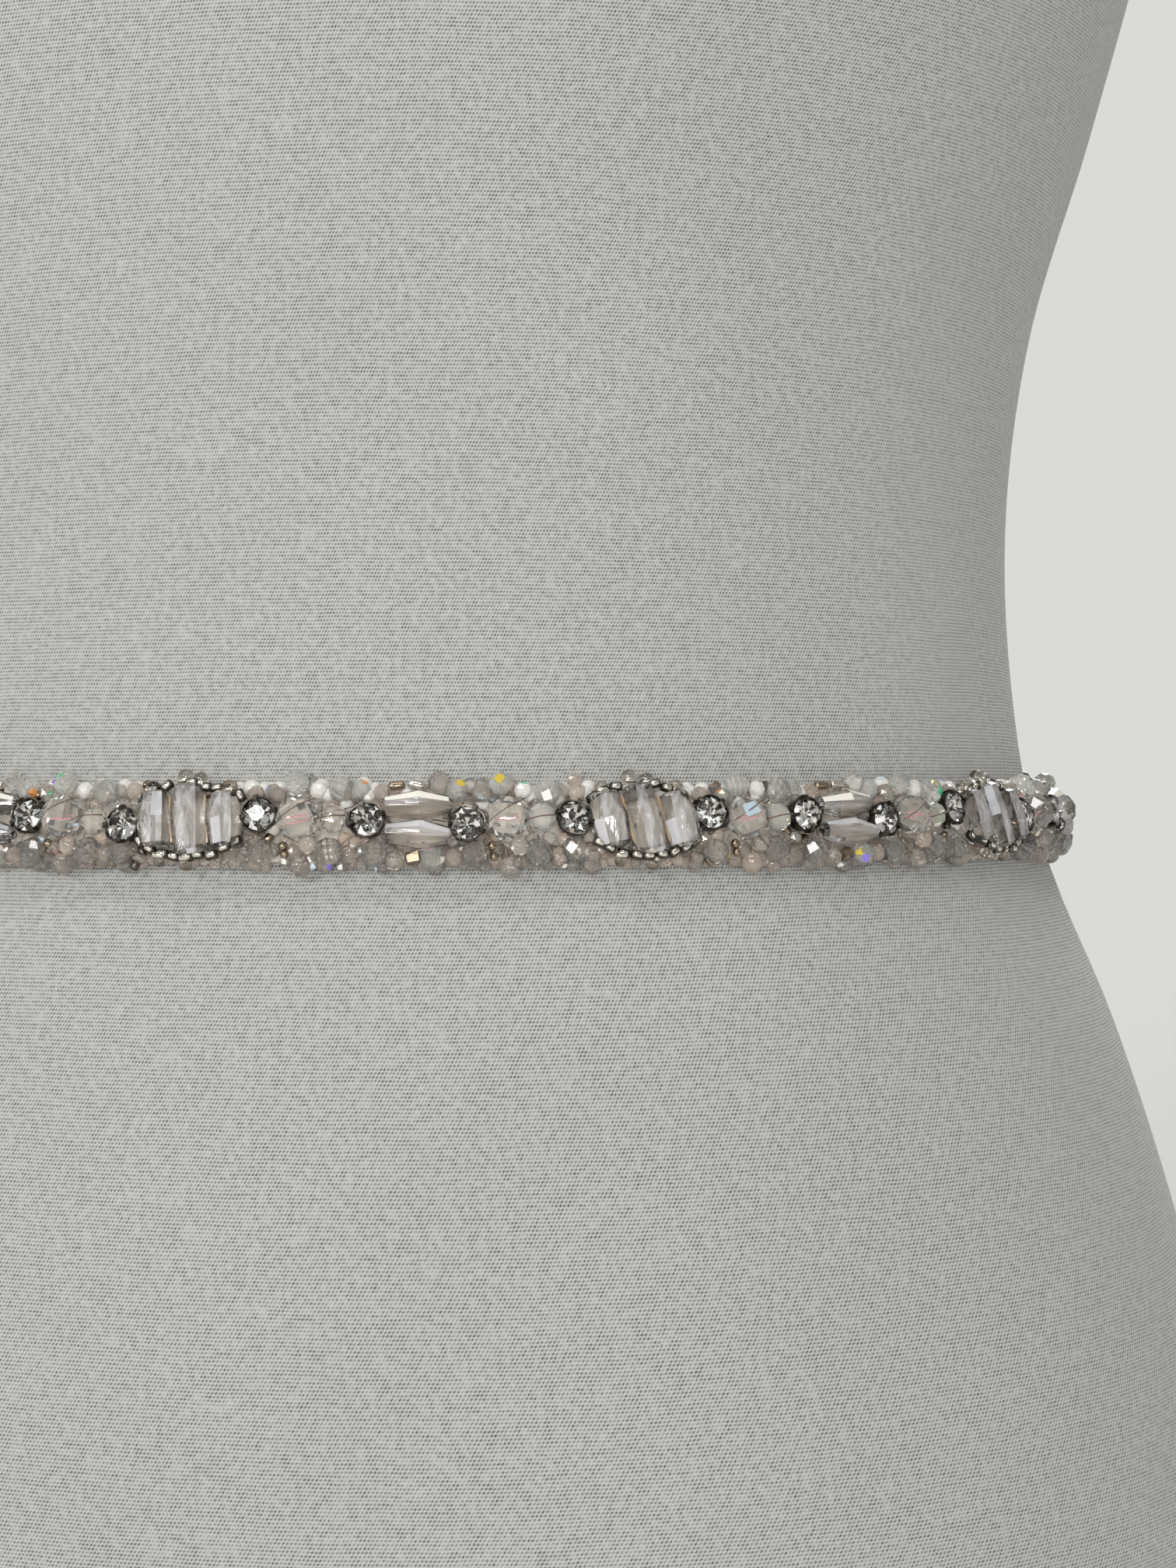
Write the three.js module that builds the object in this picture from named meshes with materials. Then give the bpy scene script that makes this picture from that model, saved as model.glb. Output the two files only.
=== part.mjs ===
// A beaded bridal sash, worn round the waist of a limbless dress form.
//
// The sash is one length of narrow satin ribbon. Two bead motifs are sewn onto its front and sides by
// turns. One is an oval medallion of three upright crystals between two stones in metal cups. The other is
// a spray: two drop crystals that lie between two cups, with a cluster of round crystals at either end.
// Behind, the ribbon is plain, and tied in a flat knot with two short tails. Each motif is a wall that is
// plain inside and raised outside where its large beads stand.
//
// Millimetres, +Z up. The origin is the centre of the form's flat underside, and the front faces -Y.
import * as THREE from "three";

// The dress form: half width, and depth to the front and to the back, at each height.
const FORM_ROWS = [
  { height: 0, halfWidth: 139, front: 97, back: 108 },
  { height: 45, halfWidth: 147, front: 103, back: 118 },
  { height: 90, halfWidth: 149, front: 106, back: 122 },
  { height: 130, halfWidth: 145, front: 107, back: 118 },
  { height: 173, halfWidth: 134, front: 103, back: 106 },
  { height: 203, halfWidth: 124.4, front: 97, back: 96.5 },
  { height: 226, halfWidth: 114.9, front: 90.5, back: 88.5 },
  { height: 245, halfWidth: 109.6, front: 86, back: 84 },
  { height: 280, halfWidth: 107.1, front: 84, back: 80 },
  { height: 314, halfWidth: 111, front: 87, back: 83 },
  { height: 347, halfWidth: 120.8, front: 92, back: 89 },
  { height: 385, halfWidth: 131, front: 98, back: 95 },
  { height: 430, halfWidth: 140, front: 103, back: 99 },
  { height: 475, halfWidth: 146, front: 100, back: 101 },
  { height: 515, halfWidth: 150, front: 91, back: 102 },
  { height: 555, halfWidth: 157, front: 81, back: 100 },
  { height: 588, halfWidth: 164, front: 71, back: 92 },
  { height: 612, halfWidth: 161, front: 63, back: 82 },
  { height: 630, halfWidth: 144, front: 57, back: 74 },
  { height: 644, halfWidth: 112, front: 54, back: 66 },
  { height: 656, halfWidth: 82, front: 51, back: 60 },
  { height: 670, halfWidth: 62, front: 49, back: 55 },
  { height: 690, halfWidth: 55, front: 48, back: 51 },
  { height: 720, halfWidth: 53, front: 48, back: 50 },
];
const FORM_HEIGHT = 720;
const FORM_EDGE_RADIUS = 7; // rounds the rim of the neck and of the underside
const BUST = { apart: 126, height: 448, rise: 25, wide: 38, tall: 41 };
const FORM_RING_STEP = 16;
const BELT_RING_STEP = 7; // closer rings where the sash lies
const BELT_RING_REACH = 28;
const FORM_SIDES = 48;

// The sash on the waist.
const BELT_HEIGHT = 235; // the middle of the ribbon, above the floor
const RIBBON_WIDTH = 11;
const RIBBON_THICK = 1;
const GAP = 0.3; // between pieces that touch
const RIBBON_STEP = 5;
const BEADING_INSIDE = GAP + RIBBON_THICK + GAP; // from the form out to the motifs' plain inside

// The beading repeats: medallion, cluster, drops, cluster. Spans run from cup to cup.
const MEDALLION_SPAN = 18.7;
const DROPS_SPAN = 13;
const CLUSTER_SPAN = 14.2;
const REPEAT = MEDALLION_SPAN + DROPS_SPAN + 2 * CLUSTER_SPAN;
const MEDALLIONS_EACH_SIDE = 4; // of the one at the centre front
const CUP_RADIUS = 2.55;
const CUP_SEAT = 2.7; // from a medallion's cup to the end of the motif

// Heights above the motifs' plain inside.
const EDGE_RISE = 1.5; // at the rim of the beading
const BEAD_RISE = 2.5; // over the small beads
const BEADING_HALF_HEIGHT = 6.1;
const SCALLOP = 0.35; // how far the edge beads come and go
// Where the outside's points lie, as shares of the half height.
const OUTSIDE_ROWS = [1, 0.82, 0.6, 0.35, 0, -0.35, -0.6, -0.82, -1];

// The large beads of each motif: how far along from its middle and up, half sizes, rise, and the places on
// each bead, as shares of its half length, where the wall has a section.
const CUP = { up: 0, halfLength: CUP_RADIUS, halfHeight: CUP_RADIUS, rise: 4.6 };
const cup = (along) => ({ ...CUP, along, sections: [-0.95, -0.5, 0.5, 0.95] });
const MEDALLION_BEADS = [
  cup(-MEDALLION_SPAN / 2),
  { along: -4.4, up: 0, halfLength: 2.1, halfHeight: 4.2, rise: 4.5, sections: [-1, -0.5, 0.5] },
  { along: 0, up: 0, halfLength: 2.3, halfHeight: 4.9, rise: 5, sections: [-1, -0.5, 0.5, 1] },
  { along: 4.4, up: 0, halfLength: 2.1, halfHeight: 4.2, rise: 4.5, sections: [-0.5, 0.5, 1] },
  cup(MEDALLION_SPAN / 2),
];
const CLUSTER_BEADS = [
  { along: -2.1, up: 0.4, halfLength: 2.8, halfHeight: 2.8, rise: 5.2, sections: [-0.9, -0.4, 0.4, 0.9] },
  { along: 2.6, up: 0, halfLength: 2.1, halfHeight: 2.1, rise: 4.3, sections: [-0.4, 0.4, 0.95] },
  { along: 2.2, up: -4.2, halfLength: 2.1, halfHeight: 2, rise: 3.9, sections: [] },
  { along: 1.9, up: 4.3, halfLength: 2, halfHeight: 1.9, rise: 3.8, sections: [] },
];
const DROP_BEADS = [
  { along: 0, up: 2.1, halfLength: 4.5, halfHeight: 2.2, rise: 4.6, sections: [-0.6, -0.25, 0.25, 0.6] },
  { along: 0, up: -2.1, halfLength: 4.5, halfHeight: 2.2, rise: 4.6, sections: [] },
];
const clusterAt = (place) => CLUSTER_BEADS.map((bead) => ({ ...bead, along: bead.along + place }));
const SPRAY_BEADS = [
  ...clusterAt(-(DROPS_SPAN + CLUSTER_SPAN) / 2),
  cup(-DROPS_SPAN / 2),
  ...DROP_BEADS,
  cup(DROPS_SPAN / 2),
  ...clusterAt((DROPS_SPAN + CLUSTER_SPAN) / 2),
];

// The knot and tails behind.
const KNOT = { halfWidth: 6.6, halfHeight: 8, depth: 6, inside: 0.6, crease: 0.9, creaseWide: 1.1 };
const KNOT_SECTIONS = 14;
const KNOT_SIDES = 20;
const TAIL_STEP = 6;
const TAILS = [
  { name: "tail_left", side: -1, length: 186, splay: 21, sway: 2.4, phase: 0.4, slant: 8 },
  { name: "tail_right", side: 1, length: 172, splay: 15, sway: 2.0, phase: 2.1, slant: -8 },
];
const TAIL_START = 4.2; // how far each tail's middle starts from the centre back
const TAIL_LIFT = 0.5;
const SEAT_HEIGHT = 90; // below the fullest part of the seat the tails hang straight

// A value of the form's rows at any height, on a smooth curve through them.
function rowValue(key, height) {
  const last = FORM_ROWS.length - 1;
  const rows = FORM_ROWS;
  let i = rows.findIndex((row) => row.height > height) - 1;
  if (i < 0) i = height >= rows[last].height ? last - 1 : 0;
  const slope = (j) => {
    const below = rows[Math.max(j - 1, 0)];
    const above = rows[Math.min(j + 1, last)];
    return (above[key] - below[key]) / (above.height - below.height);
  };
  const span = rows[i + 1].height - rows[i].height;
  const t = (height - rows[i].height) / span;
  return (
    (2 * t ** 3 - 3 * t ** 2 + 1) * rows[i][key] +
    (t ** 3 - 2 * t ** 2 + t) * span * slope(i) +
    (3 * t ** 2 - 2 * t ** 3) * rows[i + 1][key] +
    (t ** 3 - t ** 2) * span * slope(i + 1)
  );
}

// A point on the form: angle 0 is the centre front, a quarter turn is the +X side.
function onForm(angle, height) {
  const halfWidth = rowValue("halfWidth", height);
  const ahead = Math.cos(angle);
  const x = halfWidth * Math.sin(angle);
  let y = -ahead * rowValue(ahead > 0 ? "front" : "back", height);
  if (ahead > 0) {
    const across = (Math.abs(x) - BUST.apart / 2) / BUST.wide;
    const up = (height - BUST.height) / BUST.tall;
    y -= BUST.rise * Math.exp(-(across ** 2 + up ** 2) / 2) * THREE.MathUtils.smoothstep(ahead, 0, 0.5);
  }
  return new THREE.Vector3(x, y, height);
}

// The form's outward direction there.
function formNormal(angle, height) {
  const small = 0.01;
  const round = onForm(angle + small, height).sub(onForm(angle - small, height));
  const up = onForm(angle, height + 1).sub(onForm(angle, height - 1));
  return round.cross(up).normalize();
}

// Length along the waist from the centre front, measured on the form at the ribbon's middle.
const WAIST_STEPS = 720;
const waistLengths = [0];
for (let i = 1; i <= WAIST_STEPS; i++) {
  const from = onForm((Math.PI * (i - 1)) / WAIST_STEPS, BELT_HEIGHT);
  const to = onForm((Math.PI * i) / WAIST_STEPS, BELT_HEIGHT);
  waistLengths.push(waistLengths[i - 1] + from.distanceTo(to));
}
const HALF_WAIST = waistLengths[WAIST_STEPS];

function waistAngle(along) {
  const folded = Math.abs(along) > HALF_WAIST ? 2 * HALF_WAIST - Math.abs(along) : Math.abs(along);
  const i = Math.min(waistLengths.findIndex((l) => l >= folded) || 1, WAIST_STEPS);
  const j = i < 1 ? WAIST_STEPS : i;
  const part = (folded - waistLengths[j - 1]) / (waistLengths[j] - waistLengths[j - 1]);
  const angle = (Math.PI * (j - 1 + part)) / WAIST_STEPS;
  const turned = Math.abs(along) > HALF_WAIST ? 2 * Math.PI - angle : angle;
  return Math.sign(along) * turned;
}

// A point over the form: along the waist, up from the floor, and out from the form.
function over(along, height, out) {
  const angle = waistAngle(along);
  return onForm(angle, height).addScaledVector(formNormal(angle, height), out);
}

// The same, counted up from the ribbon's middle along the sloping waist.
const aboveBelt = onForm(Math.PI / 2, BELT_HEIGHT + 5);
const waistSlope = aboveBelt.sub(onForm(Math.PI / 2, BELT_HEIGHT - 5)).normalize();
const onSash = (along, up, out) => over(along, BELT_HEIGHT + up * waistSlope.z, out);

// One closed body through loops of points, with an end closed by a fan round the middle of its loop.
function loft(loops) {
  const sides = loops[0].length;
  const points = loops.flat();
  const faces = [];
  for (let i = 0; i + 1 < loops.length; i++)
    for (let j = 0; j < sides; j++) {
      const a = i * sides + j;
      const b = i * sides + ((j + 1) % sides);
      faces.push(a, b, b + sides, a, b + sides, a + sides);
    }
  for (const [start, flip] of [[0, true], [(loops.length - 1) * sides, false]]) {
    const middle = new THREE.Vector3();
    for (let j = 0; j < sides; j++) middle.addScaledVector(points[start + j], 1 / sides);
    points.push(middle);
    for (let j = 0; j < sides; j++) {
      const next = start + ((j + 1) % sides);
      if (flip) faces.push(next, start + j, points.length - 1);
      else faces.push(start + j, next, points.length - 1);
    }
  }
  let volume = 0;
  for (let i = 0; i < faces.length; i += 3) {
    const [a, b, c] = [points[faces[i]], points[faces[i + 1]], points[faces[i + 2]]];
    volume += a.dot(new THREE.Vector3().crossVectors(b, c));
  }
  const geometry = new THREE.BufferGeometry().setFromPoints(points);
  geometry.setIndex(volume < 0 ? faces.reverse() : faces);
  geometry.computeVertexNormals();
  return geometry;
}

const MATERIALS = {
  jersey: new THREE.MeshStandardMaterial({ color: 0xd6d5d0, roughness: 0.9, metalness: 0 }),
  satin: new THREE.MeshStandardMaterial({ color: 0xe9e4dc, roughness: 0.45, metalness: 0 }),
  beading: new THREE.MeshStandardMaterial({ color: 0xd8d2cf, roughness: 0.2, metalness: 0 }),
};

const sash = new THREE.Group();

function addPiece(name, geometry, material) {
  const mesh = new THREE.Mesh(geometry, material);
  mesh.name = name;
  sash.add(mesh);
}

// The dress form, rounded at the rim of its neck and of its flat underside.
function formHeights() {
  const heights = [];
  let height = FORM_EDGE_RADIUS;
  while (height < FORM_HEIGHT - FORM_EDGE_RADIUS) {
    heights.push(height);
    const nearBelt = Math.abs(height - BELT_HEIGHT) < BELT_RING_REACH;
    height += nearBelt ? BELT_RING_STEP : FORM_RING_STEP;
  }
  return heights;
}

function formRing(height, inset) {
  const ring = [];
  for (let j = 0; j < FORM_SIDES; j++) {
    const angle = (2 * Math.PI * j) / FORM_SIDES;
    const point = onForm(angle > Math.PI ? angle - 2 * Math.PI : angle, height);
    const shrink = 1 - inset / Math.hypot(point.x, point.y);
    ring.push(new THREE.Vector3(point.x * shrink, point.y * shrink, height));
  }
  return ring;
}

function dressForm() {
  const rings = [];
  const rim = [0, 30, 60]; // degrees round the rim's curve
  for (const turn of rim) {
    const t = THREE.MathUtils.degToRad(turn);
    rings.push(formRing(FORM_EDGE_RADIUS * (1 - Math.sin(t)), FORM_EDGE_RADIUS * (1 - Math.cos(t))));
  }
  rings.reverse();
  const underside = formRing(0, FORM_EDGE_RADIUS);
  const top = formRing(FORM_HEIGHT, FORM_EDGE_RADIUS);
  const upper = rim.map((turn) => {
    const t = THREE.MathUtils.degToRad(turn);
    const down = FORM_EDGE_RADIUS * (1 - Math.sin(t));
    return formRing(FORM_HEIGHT - down, FORM_EDGE_RADIUS * (1 - Math.cos(t)));
  });
  const middle = formHeights().slice(1).map((height) => formRing(height, 0));
  return loft([underside, ...rings, ...middle, ...upper, top]);
}

// The plain ribbon, from one side of the knot round the front to the other.
function ribbonBand() {
  const reach = HALF_WAIST - KNOT.halfWidth - GAP;
  const steps = Math.ceil((2 * reach) / RIBBON_STEP);
  const half = RIBBON_WIDTH / 2;
  const loops = [];
  for (let i = 0; i <= steps; i++) {
    const along = -reach + (2 * reach * i) / steps;
    loops.push([
      onSash(along, -half, GAP),
      onSash(along, half, GAP),
      onSash(along, half, GAP + RIBBON_THICK),
      onSash(along, -half, GAP + RIBBON_THICK),
    ]);
  }
  return loft(loops);
}

// How high a motif's outside stands at a place on it.
function beadingRise(beads, along, up) {
  const share = Math.abs(up) / BEADING_HALF_HEIGHT;
  const edge = THREE.MathUtils.smoothstep(share, 0.7, 1);
  let rise = THREE.MathUtils.lerp(BEAD_RISE, EDGE_RISE, edge);
  for (const bead of beads) {
    const a = Math.abs((along - bead.along) / bead.halfLength);
    const b = Math.abs((up - bead.up) / bead.halfHeight);
    const outward = Math.sqrt(a * a + b * b);
    if (outward < 1) rise = Math.max(rise, bead.rise * (1 - 0.35 * outward ** 3));
  }
  return rise;
}

// A motif: a wall plain inside, and raised outside over its large beads.
function motif(centre, halfSpan, beads) {
  const places = beads.flatMap((bead) => bead.sections.map((s) => bead.along + s * bead.halfLength));
  const end = halfSpan - GAP / 2;
  const inner = places.filter((along) => Math.abs(along) < end - GAP).sort((a, b) => a - b);
  const loops = [-end, ...inner, end].map((along, i) => {
    const tall = BEADING_HALF_HEIGHT + (i % 2 ? SCALLOP : -SCALLOP);
    const outside = OUTSIDE_ROWS.map((share) => {
      const up = share * tall;
      return onSash(centre + along, up, BEADING_INSIDE + beadingRise(beads, along, up));
    });
    const inside = [-tall, tall].map((up) => onSash(centre + along, up, BEADING_INSIDE));
    return [...inside, ...outside];
  });
  return loft(loops);
}

function addBeading() {
  const medallionHalf = MEDALLION_SPAN / 2 + CUP_SEAT;
  for (let i = -MEDALLIONS_EACH_SIDE; i <= MEDALLIONS_EACH_SIDE; i++) {
    const number = i + MEDALLIONS_EACH_SIDE + 1;
    const medallion = motif(i * REPEAT, medallionHalf, MEDALLION_BEADS);
    addPiece(`bead_medallion_${number}`, medallion, MATERIALS.beading);
    if (i === MEDALLIONS_EACH_SIDE) break;
    const spray = motif((i + 0.5) * REPEAT, REPEAT / 2 - medallionHalf, SPRAY_BEADS);
    addPiece(`bead_spray_${number}`, spray, MATERIALS.beading);
  }
}

// The knot: a rounded wrap of ribbon at the centre back, with two creases down it.
function knot() {
  const loops = [];
  for (let i = 0; i <= KNOT_SECTIONS; i++) {
    const level = Math.sin((Math.PI / 2) * (-0.96 + (1.92 * i) / KNOT_SECTIONS));
    const fullness = (1 - Math.abs(level) ** 3.4) ** 0.5;
    const loop = [];
    for (let j = 0; j < KNOT_SIDES; j++) {
      const turn = (2 * Math.PI * j) / KNOT_SIDES;
      const across = KNOT.halfWidth * Math.cos(turn) * (0.35 + 0.65 * fullness);
      const bulge = Math.max(0, Math.sin(turn));
      const creases = [-2.1, 2.4].map((place) => Math.exp(-(((across - place) / KNOT.creaseWide) ** 2)));
      const crease = KNOT.crease * bulge * fullness * (creases[0] + creases[1]);
      const flat = 0.4 * Math.sin(turn);
      const out = KNOT.inside + 0.4 + (bulge ? bulge ** 0.7 * KNOT.depth * (0.25 + 0.75 * fullness) : flat);
      loop.push(onSash(HALF_WAIST + across, level * KNOT.halfHeight, out - crease));
    }
    loops.push(loop);
  }
  return loft(loops);
}

// A tail: ribbon that hangs from the knot over the back of the form, with a soft sway in it.
function tail({ side, length, splay, sway, phase, slant }) {
  const top = BELT_HEIGHT - KNOT.halfHeight - GAP;
  const steps = Math.round(length / TAIL_STEP);
  const half = RIBBON_WIDTH / 2;
  const seat = onForm(Math.PI, SEAT_HEIGHT).y;
  const loops = [];
  for (let i = 0; i <= steps; i++) {
    const down = i / steps;
    const middle = HALF_WAIST + side * (TAIL_START + splay * down ** 1.3);
    const corners = [-1, 1].map((edge) => {
      const height = top - length * down - (edge * slant * down ** 8) / 2;
      const wave = sway * Math.sin(down * 2.6 * Math.PI + phase + edge * 0.45);
      const hang = Math.max(0, seat - onForm(Math.PI, Math.min(height, SEAT_HEIGHT)).y);
      const lift = TAIL_LIFT + (sway + wave) * Math.sin(Math.PI * Math.min(1, down * 1.15)) ** 2 + hang;
      const narrow = 0.62 + 0.38 * Math.min(1, down * 6);
      return [middle + edge * half * narrow, height, lift];
    });
    const [a, b] = corners;
    loops.push([
      over(a[0], a[1], a[2]),
      over(b[0], b[1], b[2]),
      over(b[0], b[1], b[2] + RIBBON_THICK),
      over(a[0], a[1], a[2] + RIBBON_THICK),
    ]);
  }
  return loft(loops);
}

addPiece("dress_form", dressForm(), MATERIALS.jersey);
addPiece("ribbon_band", ribbonBand(), MATERIALS.satin);
addBeading();
addPiece("knot", knot(), MATERIALS.satin);
for (const row of TAILS) addPiece(row.name, tail(row), MATERIALS.satin);

export default sash;
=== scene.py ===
import math

import bpy
import numpy as np
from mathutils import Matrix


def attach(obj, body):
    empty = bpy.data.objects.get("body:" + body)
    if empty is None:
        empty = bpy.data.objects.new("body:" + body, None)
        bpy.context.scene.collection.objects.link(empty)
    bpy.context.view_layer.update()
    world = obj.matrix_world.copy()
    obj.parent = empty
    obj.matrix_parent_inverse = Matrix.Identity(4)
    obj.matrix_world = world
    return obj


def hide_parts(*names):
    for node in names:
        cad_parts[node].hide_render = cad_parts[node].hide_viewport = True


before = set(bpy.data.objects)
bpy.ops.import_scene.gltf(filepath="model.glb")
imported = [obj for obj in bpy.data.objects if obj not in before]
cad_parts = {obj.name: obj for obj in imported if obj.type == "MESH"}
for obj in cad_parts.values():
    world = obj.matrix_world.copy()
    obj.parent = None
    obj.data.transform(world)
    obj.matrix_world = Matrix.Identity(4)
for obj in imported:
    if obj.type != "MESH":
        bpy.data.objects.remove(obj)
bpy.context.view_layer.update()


# The camera looks level at the waist from the front, a little to the right of the centre, so that the
# sash runs off the left edge and turns away round the form at the right.
TURN = math.radians(10.7)
EYE = (0.1117, -0.3941, 0.2409)

camera = bpy.data.objects.new("camera", bpy.data.cameras.new("camera"))
bpy.context.scene.collection.objects.link(camera)
camera.data.sensor_width = 36
camera.data.lens = 54.1
camera.data.clip_start = 0.01
camera.location = EYE
camera.rotation_euler = (math.pi / 2, 0, TURN)
bpy.context.scene.camera = camera


# The dress form: a limbless torso under a cover of fine off-white jersey, drawn tight. The cover has
# the same count of stitches all round at every height, so they widen from the waist to bust and hip.
FORM_ROWS = np.array([
    # height, half width, depth to the front, depth to the back
    (0, 139, 97, 108), (45, 147, 103, 118), (90, 149, 106, 122), (130, 145, 107, 118), (173, 134, 103, 106),
    (203, 124.4, 97, 96.5), (226, 114.9, 90.5, 88.5), (245, 109.6, 86, 84), (280, 107.1, 84, 80),
    (314, 111, 87, 83), (347, 120.8, 92, 89), (385, 131, 98, 95), (430, 140, 103, 99), (475, 146, 100, 101),
    (515, 150, 91, 102), (555, 157, 81, 100), (588, 164, 71, 92), (612, 161, 63, 82), (630, 144, 57, 74),
    (644, 112, 54, 66), (656, 82, 51, 60), (670, 62, 49, 55), (690, 55, 48, 51), (720, 53, 48, 50),
])
FORM_HEIGHT = 720
FORM_EDGE_RADIUS = 7
BUST = {"apart": 126, "height": 448, "rise": 25, "wide": 38, "tall": 41, "ease": 0.5}
STITCHES_ROUND = 1260
COURSE = 0.5  # millimetres from one row of stitches to the next
FORM_SIDES = 180
FORM_STEP = 5
LEVEL_WITHIN = 0.01  # a face that rises less than this is level
FULL_TURN = 2 * math.pi


def form_rows(height):
    """Half width and both depths of the form at these heights, on a smooth curve through its rows."""
    tall = FORM_ROWS[:, 0]
    i = np.clip(np.searchsorted(tall, height, "right") - 1, 0, len(tall) - 2)
    before, after = np.maximum(i - 1, 0), np.minimum(i + 2, len(tall) - 1)
    span = (tall[i + 1] - tall[i])[..., None]
    t = (np.asarray(height) - tall[i])[..., None] / span
    start = span * (FORM_ROWS[i + 1] - FORM_ROWS[before]) / (tall[i + 1] - tall[before])[..., None]
    end = span * (FORM_ROWS[after] - FORM_ROWS[i]) / (tall[after] - tall[i])[..., None]
    rows = (
        (2 * t**3 - 3 * t**2 + 1) * FORM_ROWS[i] + (t**3 - 2 * t**2 + t) * start
        + (3 * t**2 - 2 * t**3) * FORM_ROWS[i + 1] + (t**3 - t**2) * end
    )
    return rows[..., 1], rows[..., 2], rows[..., 3]


def on_form(angle, height):
    """A point on the form. Angle 0 is the centre front, and a quarter turn is the +X side."""
    angle, height = np.broadcast_arrays(np.asarray(angle, float), np.asarray(height, float))
    half_width, front, back = form_rows(height)
    ahead = np.cos(angle)
    x = half_width * np.sin(angle)
    across = (np.abs(x) - BUST["apart"] / 2) / BUST["wide"]
    up = (height - BUST["height"]) / BUST["tall"]
    ease = np.clip(ahead / BUST["ease"], 0, 1)
    bust = BUST["rise"] * np.exp(-(across**2 + up**2) / 2) * ease**2 * (3 - 2 * ease)
    y = -ahead * np.where(ahead > 0, front, back) - bust
    return np.stack([x, y, height], -1)


def form_normal(angle, height):
    """The form's outward direction."""
    round_it = on_form(np.asarray(angle) + 0.01, height) - on_form(np.asarray(angle) - 0.01, height)
    up = on_form(angle, np.asarray(height) + 1.0) - on_form(angle, np.asarray(height) - 1.0)
    normal = np.cross(round_it, up)
    return normal / np.linalg.norm(normal, axis=-1, keepdims=True)


def outward(points, triangles):
    """The triangles, turned so that the closed body's faces point out."""
    a, b, c = (points[triangles[:, k]] for k in range(3))
    volume = (a * np.cross(b, c)).sum()
    return triangles[:, ::-1] if volume < 0 else triangles


def loft(loops):
    """Points and triangles of a closed body through loops of points, with a fan over each end."""
    rings, sides = loops.shape[:2]
    points = loops.reshape(-1, 3)
    a = np.arange((rings - 1) * sides)
    b = a - a % sides + (a + 1) % sides
    side = np.concatenate([np.stack([a, b, b + sides], 1), np.stack([a, b + sides, a + sides], 1)])
    first, near = np.arange(sides), np.roll(np.arange(sides), -1)
    last = (rings - 1) * sides
    middles = np.stack([loops[0].mean(0), loops[-1].mean(0)])
    ends = np.concatenate([
        np.stack([near, first, np.full(sides, len(points))], 1),
        np.stack([last + first, last + near, np.full(sides, len(points) + 1)], 1),
    ])
    points = np.concatenate([points, middles])
    return points, outward(points, np.concatenate([side, ends]))


def make_piece(name, points, triangles, finishes, finish_of=0, smooth=True):
    """A mesh object from points in millimetres, which rides on the form with everything else."""
    mesh = bpy.data.meshes.new(name)
    mesh.from_pydata((np.asarray(points) / 1000).tolist(), [], np.asarray(triangles).tolist())
    count = len(mesh.polygons)
    mesh.polygons.foreach_set("use_smooth", np.broadcast_to(smooth, count).astype(bool))
    mesh.polygons.foreach_set("material_index", np.broadcast_to(finish_of, count).astype(np.int32))
    for finish in finishes:
        mesh.materials.append(finish.material)
    piece = bpy.data.objects.new(name, mesh)
    bpy.context.scene.collection.objects.link(piece)
    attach(piece, "root")
    return piece


class Field:
    """A value that varies over a surface: one output in a finish's nodes."""

    def __init__(self, finish, socket):
        self.finish, self.socket = finish, socket

    def _math(self, operation, first, second=0.0):
        return self.finish.node("ShaderNodeMath", {"operation": operation}, {0: first, 1: second})

    def __add__(self, other):
        return self._math("ADD", self, other)

    def __radd__(self, other):
        return self._math("ADD", other, self)

    def __sub__(self, other):
        return self._math("SUBTRACT", self, other)

    def __rsub__(self, other):
        return self._math("SUBTRACT", other, self)

    def __mul__(self, other):
        return self._math("MULTIPLY", self, other)

    def __pow__(self, other):
        return self._math("POWER", self, other)

    def cosine(self):
        return self._math("COSINE", self)

    def sine(self):
        return self._math("SINE", self)


class Finish:
    """A material, with one way to add a node and one to set the surface."""

    def __init__(self, name, **surface):
        self.material = bpy.data.materials.new(name)
        self.material.use_nodes = True
        self.tree = self.material.node_tree
        self.surface = self.tree.nodes["Principled BSDF"]
        self.set(**surface)

    def put(self, socket, value):
        if isinstance(value, Field):
            self.tree.links.new(value.socket, socket)
        elif hasattr(value, "__len__") and len(value) == 3 and socket.type == "RGBA":
            socket.default_value = (*value, 1)
        else:
            socket.default_value = value

    def node(self, kind, settings, inputs, output=0):
        made = self.tree.nodes.new(kind)
        for key, value in settings.items():
            setattr(made, key, value)
        for key, value in inputs.items():
            self.put(made.inputs[key], value)
        return Field(self, made.outputs[output])

    def set(self, **surface):
        for key, value in surface.items():
            self.put(self.surface.inputs[key.replace("_", " ")], value)

    def on_object(self):
        """The place on the object, from which its patterns are worked out."""
        return self.node("ShaderNodeTexCoord", {}, {}, output=3)

    def mix(self, factor, first, second):
        colours = {"Factor": factor, 6: first, 7: second}
        return self.node("ShaderNodeMix", {"data_type": "RGBA"}, colours, output=2)

    def noise(self, vector, scale, detail=2.0):
        return self.node("ShaderNodeTexNoise", {}, {"Vector": vector, "Scale": scale, "Detail": detail})

    def bump(self, height, depth, strength=1.0):
        return self.node("ShaderNodeBump", {}, {"Height": height, "Distance": depth, "Strength": strength})


YARN_COLOURS = (0.435, 0.435, 0.414), (0.493, 0.489, 0.468)
# The dark in the stitch holes is painted shade.
PAINTED_HOLE_SHADE = (0.085, 0.085, 0.078)
HOLE_DEPTH = 0.00012  # metres

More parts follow.
